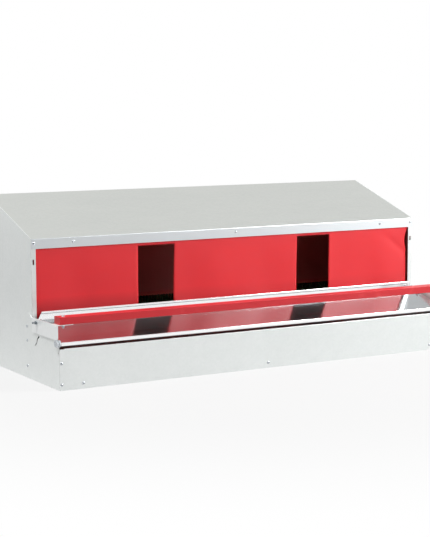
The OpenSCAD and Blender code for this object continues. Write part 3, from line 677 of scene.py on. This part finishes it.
# %% [markdown]
# ## Blind rivets
# The tray's side plates and the back are riveted from outside. Such a rivet is a tube with a wide
# rim. A pin pulls it tight and then snaps off inside, which leaves a hole in the middle with the
# pin's broken end in it. All of that is in one outline, so a turned shape is enough.

# %% Blind rivets
rivet_head = [(0, 0.0009), (0.0008, 0.0010), (0.0009, 0.0006), (0.00125, 0.0006), (0.0013, 0.0019),
              (0.0016, 0.002), (0.0024, 0.0017), (0.0033, 0.0010), (0.0040, 0.0002), (0.0040, 0)]


def fit_rivets(node, along):
    """Put a blind rivet in the place of each plain one. It points along X, 0, or Y, 1."""
    shapes = []
    for low, high in solids_of(node):
        length, centre = high[along] - low[along], (low + high) / 2
        outward = np.zeros(3)
        outward[along] = -1 if centre[along] < 0 else 1
        tip = centre + outward * length / 2
        tube = [(screw_radius, 0), (screw_radius, head_height - length), (0, head_height - length)]
        rivet = turned(rivet_head + tube, sides=32)
        shapes.append(placed(rivet, tip - outward * head_height, outward))
    piece = make_mesh("blind_" + node, joined(shapes), zinc, crease=32)
    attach(piece, "cabinet")
    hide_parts(node)
    return len(shapes)


print(fit_rivets("tray_rivets", 0), "rivets at the sides,", fit_rivets("back_rivets", 1),
      "at the back")

# %% [markdown]
# ## Threads
# Where a bolt's end stands out of its nut, its thread shows. A thread is one ridge that climbs
# round the shank, so it is a strip of three rows of points: down in the groove, up on the ridge,
# down again. At both ends it runs out into the shank.

# %% A thread
bolt_radius, thread_pitch, ridge, groove = 0.0025, 0.001, 0.0003, 0.0001
steps_per_turn, run_out_steps, half_groove = 20, 10, 0.42


def thread(name, start, end, radius, body):
    """A ridge that climbs round the line from start to end."""
    start, end = Vector(start), Vector(end)
    length = (end - start).length
    along = (end - start).normalized()
    side = along.orthogonal().normalized()
    other = along.cross(side)
    steps = int(length / thread_pitch * steps_per_turn)
    points = []
    for k in range(steps + 1):
        angle = 2 * math.pi * k / steps_per_turn
        outward = side * math.cos(angle) + other * math.sin(angle)
        fade = min(1, k / run_out_steps, (steps - k) / run_out_steps)
        for shift, rise in ((-half_groove, -groove), (0, ridge * fade), (half_groove, -groove)):
            travel = length * k / steps + shift * thread_pitch
            points.append(start + along * travel + outward * (radius + rise))
    faces = [(3 * k + j, 3 * k + 3 + j, 3 * k + 4 + j, 3 * k + 1 + j)
             for k in range(steps) for j in (0, 1)]
    shape = np.array([tuple(p) for p in points]), faces
    piece = make_mesh(name, shape, zinc, crease=60)
    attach(piece, body)
    return steps / steps_per_turn


print("thread pitch", thread_pitch * 1000, "mm")

# %% [markdown]
# Both pivot bolts point outward, so the left one's end lies at its least X and the right one's at
# its greatest. The perch bolts point down. Each thread covers the length that stands out of the
# nut, less about half a millimetre at both ends.

# %% Threads on the bolt ends
pivots = zip(("left", "right"), (0, 1), (0.0005, -0.0005), solids_of("pivot_bolts"),
             solids_of("pivot_nuts"))
turns = 0
for side_name, outer, inset, bolt, nut in pivots:
    y, z = (bolt[0][1] + bolt[1][1]) / 2, (bolt[0][2] + bolt[1][2]) / 2
    turns += thread("pivot_thread_" + side_name, (nut[outer][0] - inset, y, z),
                    (bolt[outer][0] + inset, y, z), bolt_radius, "cabinet")
for side_name, bolt, nut in zip(("left", "right"), solids_of("perch_bolts"),
                                solids_of("perch_nuts")):
    x, y = (bolt[0][0] + bolt[1][0]) / 2, (bolt[0][1] + bolt[1][1]) / 2
    turns += thread("perch_thread_" + side_name, (x, y, nut[0][2] - 0.0004),
                    (x, y, bolt[0][2] + 0.0005), bolt_radius, "perch")
print("thread turns", round(turns))

# %% [markdown]
# ## The turf pad
# Moulded turf is a thin mat with clumps of short blades in rows. Thousands of separate objects
# would be slow, so all blades are one mesh: each is a tapered strip of two faces that leans a
# little its own way. The random numbers are seeded, so the pad is the same each time.

# %% The mat and the places of the tufts
packed_pad_thick, mat_thick = 0.008, 0.0025
tuft_spacing, first_row_in, last_row_in = 0.0095, 0.006, 0.005


def mat(low, high, climb):
    """A flat mat that climbs to the back as the nest floor does."""
    across = ((low[0], low[1]), (high[0], low[1]), (high[0], high[1]), (low[0], high[1]))
    corners = [(x, y, low[2] + (y - low[1]) * climb + lift)
               for lift in (0, mat_thick) for x, y in across]
    sides = [(k, (k + 1) % 4, (k + 1) % 4 + 4, k + 4) for k in range(4)]
    return np.array(corners), [(3, 2, 1, 0), (4, 5, 6, 7)] + sides


def tuft_places(low, high):
    """Rows along Y and X. Every second one is moved by half a step."""
    x, y = np.meshgrid(np.arange(low[0] + first_row_in, high[0] - last_row_in, tuft_spacing),
                       np.arange(low[1] + first_row_in, high[1] - last_row_in, tuft_spacing),
                       indexing="ij")
    x = x + tuft_spacing / 2 * (np.arange(x.shape[1]) % 2)
    return np.minimum(x, high[0] - last_row_in).ravel(), y.ravel()


pad_low, pad_high = (np.array(corner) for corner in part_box("nest_pad"))
print(tuft_places(pad_low, pad_high)[0].size, "places for tufts")

# %% [markdown]
# A blade has three pairs of points: one pair in the mat, one half way up and one at the tip. Its
# direction, lean and height are drawn for all tufts at once, blade after blade.

# %% Turf pad
blades_per_tuft, tuft_radius, bend = 5, 0.0008, 1.6
blade_pairs = ((-0.05, 0.0011), (0.55, 0.0009), (1.0, 0.0002))  # share of the height, half width


def blade_points(tuft_x, tuft_y, foot_z):
    """The six points of each blade, for every tuft."""
    chance = np.random.default_rng(7)
    points = []
    for k in range(blades_per_tuft):
        angle = 2 * math.pi * k / blades_per_tuft + chance.uniform(-0.4, 0.4, tuft_x.size)
        lean = chance.uniform(0.0018, 0.0032, tuft_x.size)
        tall = chance.uniform(0.0040, 0.0054, tuft_x.size)
        out_x, out_y = np.cos(angle), np.sin(angle)
        for up, half_width in blade_pairs:
            reach = tuft_radius + lean * max(up, 0) ** bend
            for hand in (-1, 1):
                points.append(np.stack([tuft_x + out_x * reach - out_y * half_width * hand,
                                        tuft_y + out_y * reach + out_x * half_width * hand,
                                        foot_z + tall * up], axis=-1))
    return np.stack(points, axis=1)


def lay_turf(low, high):
    climb = (high[2] - low[2] - packed_pad_thick) / (high[1] - low[1])
    tuft_x, tuft_y = tuft_places(low, high)
    grid = blade_points(tuft_x, tuft_y, low[2] + (tuft_y - low[1]) * climb + mat_thick)
    tufts, per_tuft = grid.shape[:2]
    strips = [(a + b, a + b + 1, a + b + 3, a + b + 2)
              for a in range(0, per_tuft, 6) for b in (0, 2)]
    faces = [tuple(tuft * per_tuft + i for i in strip)
             for tuft in range(tufts) for strip in strips]
    blades = grid.reshape(-1, 3), faces
    pad = make_mesh("turf_pad", joined([mat(low, high, climb), blades]), grass)
    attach(pad, "cabinet")
    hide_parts("nest_pad")
    return tufts


print("turf tufts", lay_turf(pad_low, pad_high))

# %% [markdown]
# ## The curtain
# A sheet of vinyl hangs from its clamped top edge. It isn't flat: it bellies back a few
# millimetres between the places where it touches, its foot swings forward again, and its free
# right edge curls away from the flange. Here a fine grid of points is pushed about by smooth
# functions, which for so stiff a sheet gives a calmer shape than a cloth simulation.

# %% How the curtain hangs
curtain_low, curtain_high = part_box("curtain")
curtain_thick, hang_from = 0.0012, 0.340
belly_depth, belly_span, foot_height, foot_share = 0.0046, 0.29, 0.040, 0.6
ripple_depth, ripple_span, ripple_start = 0.0010, 0.117, 1.3
crease_depth, crease_width, crease_in, crease_z = 0.0016, 0.011, 0.075, 0.315
curl_width, curl_in, curl_foot = 0.06, 0.0075, 0.005


def curtain_shape(x, z):
    """Where the point of the flat sheet at x, z hangs."""
    hang = np.clip((hang_from - z) / (hang_from - curtain_low.z), 0, 1)
    along, past_right = x - curtain_low.x, x - curtain_high.x
    belly = 0.5 - 0.5 * np.cos(2 * math.pi * along / belly_span)
    ripple = 0.5 + 0.5 * np.sin(2 * math.pi * along / ripple_span + ripple_start)
    foot = smooth((curtain_low.z + foot_height - z) / 0.045)
    y = curtain_low.y + belly_depth * belly * smooth(hang * 1.4) * (1 - foot_share * foot)
    y += ripple_depth * ripple * smooth(hang * 2)
    from_crease = (past_right + crease_in) * 0.6 + (z - crease_z) * 0.8
    y += (crease_depth * np.exp(-(from_crease / crease_width) ** 2) * smooth(hang * 3)
          * smooth((past_right + 0.16) / 0.08))
    near_edge = np.clip((past_right + curl_width) / curl_width, 0, 1)
    curl = near_edge ** 2 * (curl_in * np.sin(math.pi * np.clip(hang * 2.8, 0, 1))
                             + curl_foot * smooth(hang * 3))
    return x - curl, y, z


print("curtain from", [round(v, 3) for v in curtain_low], "to", [round(v, 3) for v in curtain_high])

# %% [markdown]
# The grid has lines exactly on the edges of the two entrances, so that leaving out the faces
# between them cuts clean openings. A Solidify modifier then gives the sheet its thickness.

# %% The curtain
entrances, entrance_top = [(-0.302, -0.192), (0.2035, 0.3135)], 0.330
grid_step = 0.005


def grid_lines(low, high, cuts):
    """Even lines from low to high, with one on each cut."""
    edges = [low, *cuts, high]
    lines = [np.linspace(a, b, max(2, round((b - a) / grid_step) + 1))[:-1]
             for a, b in zip(edges, edges[1:])]
    return np.append(np.concatenate(lines), high)


def hang_curtain():
    xs = grid_lines(curtain_low.x, curtain_high.x, [x for pair in entrances for x in pair])
    zs = grid_lines(curtain_low.z, curtain_high.z, [entrance_top])
    points = np.stack(curtain_shape(*np.meshgrid(xs, zs, indexing="ij")), axis=-1).reshape(-1, 3)
    faces = []
    for i in range(len(xs) - 1):
        for j in range(len(zs) - 1):
            x, z = (xs[i] + xs[i + 1]) / 2, (zs[j] + zs[j + 1]) / 2
            if z < entrance_top and any(a < x < b for a, b in entrances):
                continue
            a = i * len(zs) + j
            faces.append((a, a + len(zs), a + len(zs) + 1, a + 1))
    sheet = make_mesh("vinyl_curtain", (points, faces), vinyl, crease=40)
    solid = sheet.modifiers.new("thickness", "SOLIDIFY")
    solid.thickness, solid.offset = curtain_thick, -1
    return sheet


curtain = hang_curtain()
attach(curtain, "cabinet")
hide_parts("curtain")
cut_width = curtain_high.x - curtain_low.x
cut_height = curtain_high.z - curtain_low.z
hole_area = sum(b - a for a, b in entrances) * (entrance_top - curtain_low.z)
cut_width * cut_height - hole_area
print("curtain", round(cut_width, 3), "by", round(cut_height, 3), "m,",
      len(curtain.data.polygons), "faces")

# %% [markdown]
# ## Floor
# A pale floor runs far behind the box. Its material mixes plain white light into a matt surface,
# so cameras and mirrors see it as nearly white while it still takes the box's soft shadow. The
# share of white light grows with the distance from the box, and far off the floor is pure white:
# that hides the line where it meets the background. In mirrors its far front and far left are
# dimmer, as a room is away from its lamps, and that gives the lip and the side their grey.

# %% Floor
reach, under_box = 9, -0.0004
corners = [(-reach, -reach, under_box), (reach, -reach, under_box),
           (reach, reach, under_box), (-reach, reach, under_box)]
floor = make_mesh("studio_floor", (np.array(corners), [(0, 1, 2, 3)]), None)
pale = Finish("pale_floor")
seen_plainly, mirrored = pale.ray("Camera"), pale.ray("Glossy") + pale.ray("Transmission")
far_front = pale.soft_step(pale.axis("Y") * -1, 0.9, 2.4)
far_left = pale.soft_step(pale.axis("X") * -1, 0.5, 1.3)
mirror_loss = mirrored * (far_front * 0.5 + far_left * (1 - far_front) * 0.42)
matt = pale.node("BsdfDiffuse", None, {"Color": (0.46, 0.46, 0.46, 1)})
white = pale.node("Emission", None, {"Color": (1, 1, 1, 1), "Strength": 1 - mirror_loss})
distance = pale.node("VectorMath", {"operation": "LENGTH"}, {0: pale.place()}, out="Value")
far_off = pale.soft_step(distance, 0.75, 1.7)
near_share = seen_plainly * 0.76 + mirrored * 0.86
white_share = near_share + (seen_plainly + mirrored - near_share) * far_off
pale.node_output(pale.node("MixShader", None, {0: white_share, 1: matt, 2: white}))
floor.data.materials.append(pale.material)
print("floor", 2 * reach, "m square")

# %% [markdown]
# ## Surroundings
# The world around the box does three jobs. To the camera it is plain white. In a mirror it is
# white along the horizon and greyer overhead, as a room is with bright walls and a dim ceiling,
# so the roof looks darker than the panels although both are the same steel. A dark doorway at the
# front left gives bends, rivets and bolt heads their dark lines, without which bright metal looks
# like paper. And the world sheds a weaker light that fills the shadows. `Finish` can wire it,
# because a world is a node tree too.

# %% The world
world = bpy.data.worlds.new("studio")
bpy.context.scene.world = world
world.use_nodes = True
room = Finish("room", world.node_tree)
towards = room.node("TexCoord", out="Generated")
height = room.node("SeparateXYZ", None, {0: towards}, out="Z")
forward = room.node("SeparateXYZ", None, {0: towards}, out="Y") * -1
doorway_side = room.node("VectorMath", {"operation": "DOT_PRODUCT"},
                         {0: towards, 1: (-0.5, -0.86, 0.1)}, out="Value")
ceiling = room.soft_step(height, 0.1, 0.65)
front_wall = room.soft_step(forward, 0.2, 0.8)
doorway = room.soft_step(doorway_side, 0.85, 0.94)
mirrored_room = (1 - ceiling * 0.27 - front_wall * (1 - ceiling) * 0.36) * (1 - doorway * 0.85)
shed_light = 0.12 + room.soft_step(height, 0.05, 0.7) * 0.42
in_mirror, to_camera = room.ray("Glossy") + room.ray("Transmission"), room.ray("Camera")
strength = to_camera + in_mirror * mirrored_room + (1 - to_camera - in_mirror) * shed_light
room.node_output(room.node("Background", None, {"Color": (1, 1, 1, 1), "Strength": strength}),
                 "World")
print("world with", len(room.tree.nodes), "nodes")

# %% [markdown]
# ## Lamps
# Four softboxes light the box, which are area lamps with a large face and so with soft shadows.
# The key lamp at the front right makes the curtain brighter towards the right. The small one high
# at the left draws the shadow under the perch's arm. The other two only lift the tone a little.

# %% Lamps
softboxes = [  # name, place, aim, size in metres, watts
    ("key_front_right", (2.0, -1.6, 1.75), (0.2, 0, 0.2), (1.3, 1.1), 80),
    ("fill_left", (-1.9, -0.25, 3.1), (-0.5, -0.1, 0.2), (0.5, 0.45), 84),
    ("overhead", (0, -0.4, 3.0), (0, 0, 0.2), (3.0, 2.0), 5),
    ("low_right", (2.6, -2.4, 0.5), (0.6, 0, 0.3), (0.8, 0.6), 6),
]
for name, place, aim, (wide, tall), watts in softboxes:
    light = bpy.data.lights.new(name, "AREA")
    light.shape, light.size, light.size_y, light.energy = "RECTANGLE", wide, tall, watts
    lamp = bpy.data.objects.new(name, light)
    lamp.location = place
    lamp.rotation_euler = (Vector(aim) - Vector(place)).to_track_quat("-Z", "Y").to_euler()
    bpy.context.scene.collection.objects.link(lamp)
print(len(softboxes), "softboxes")
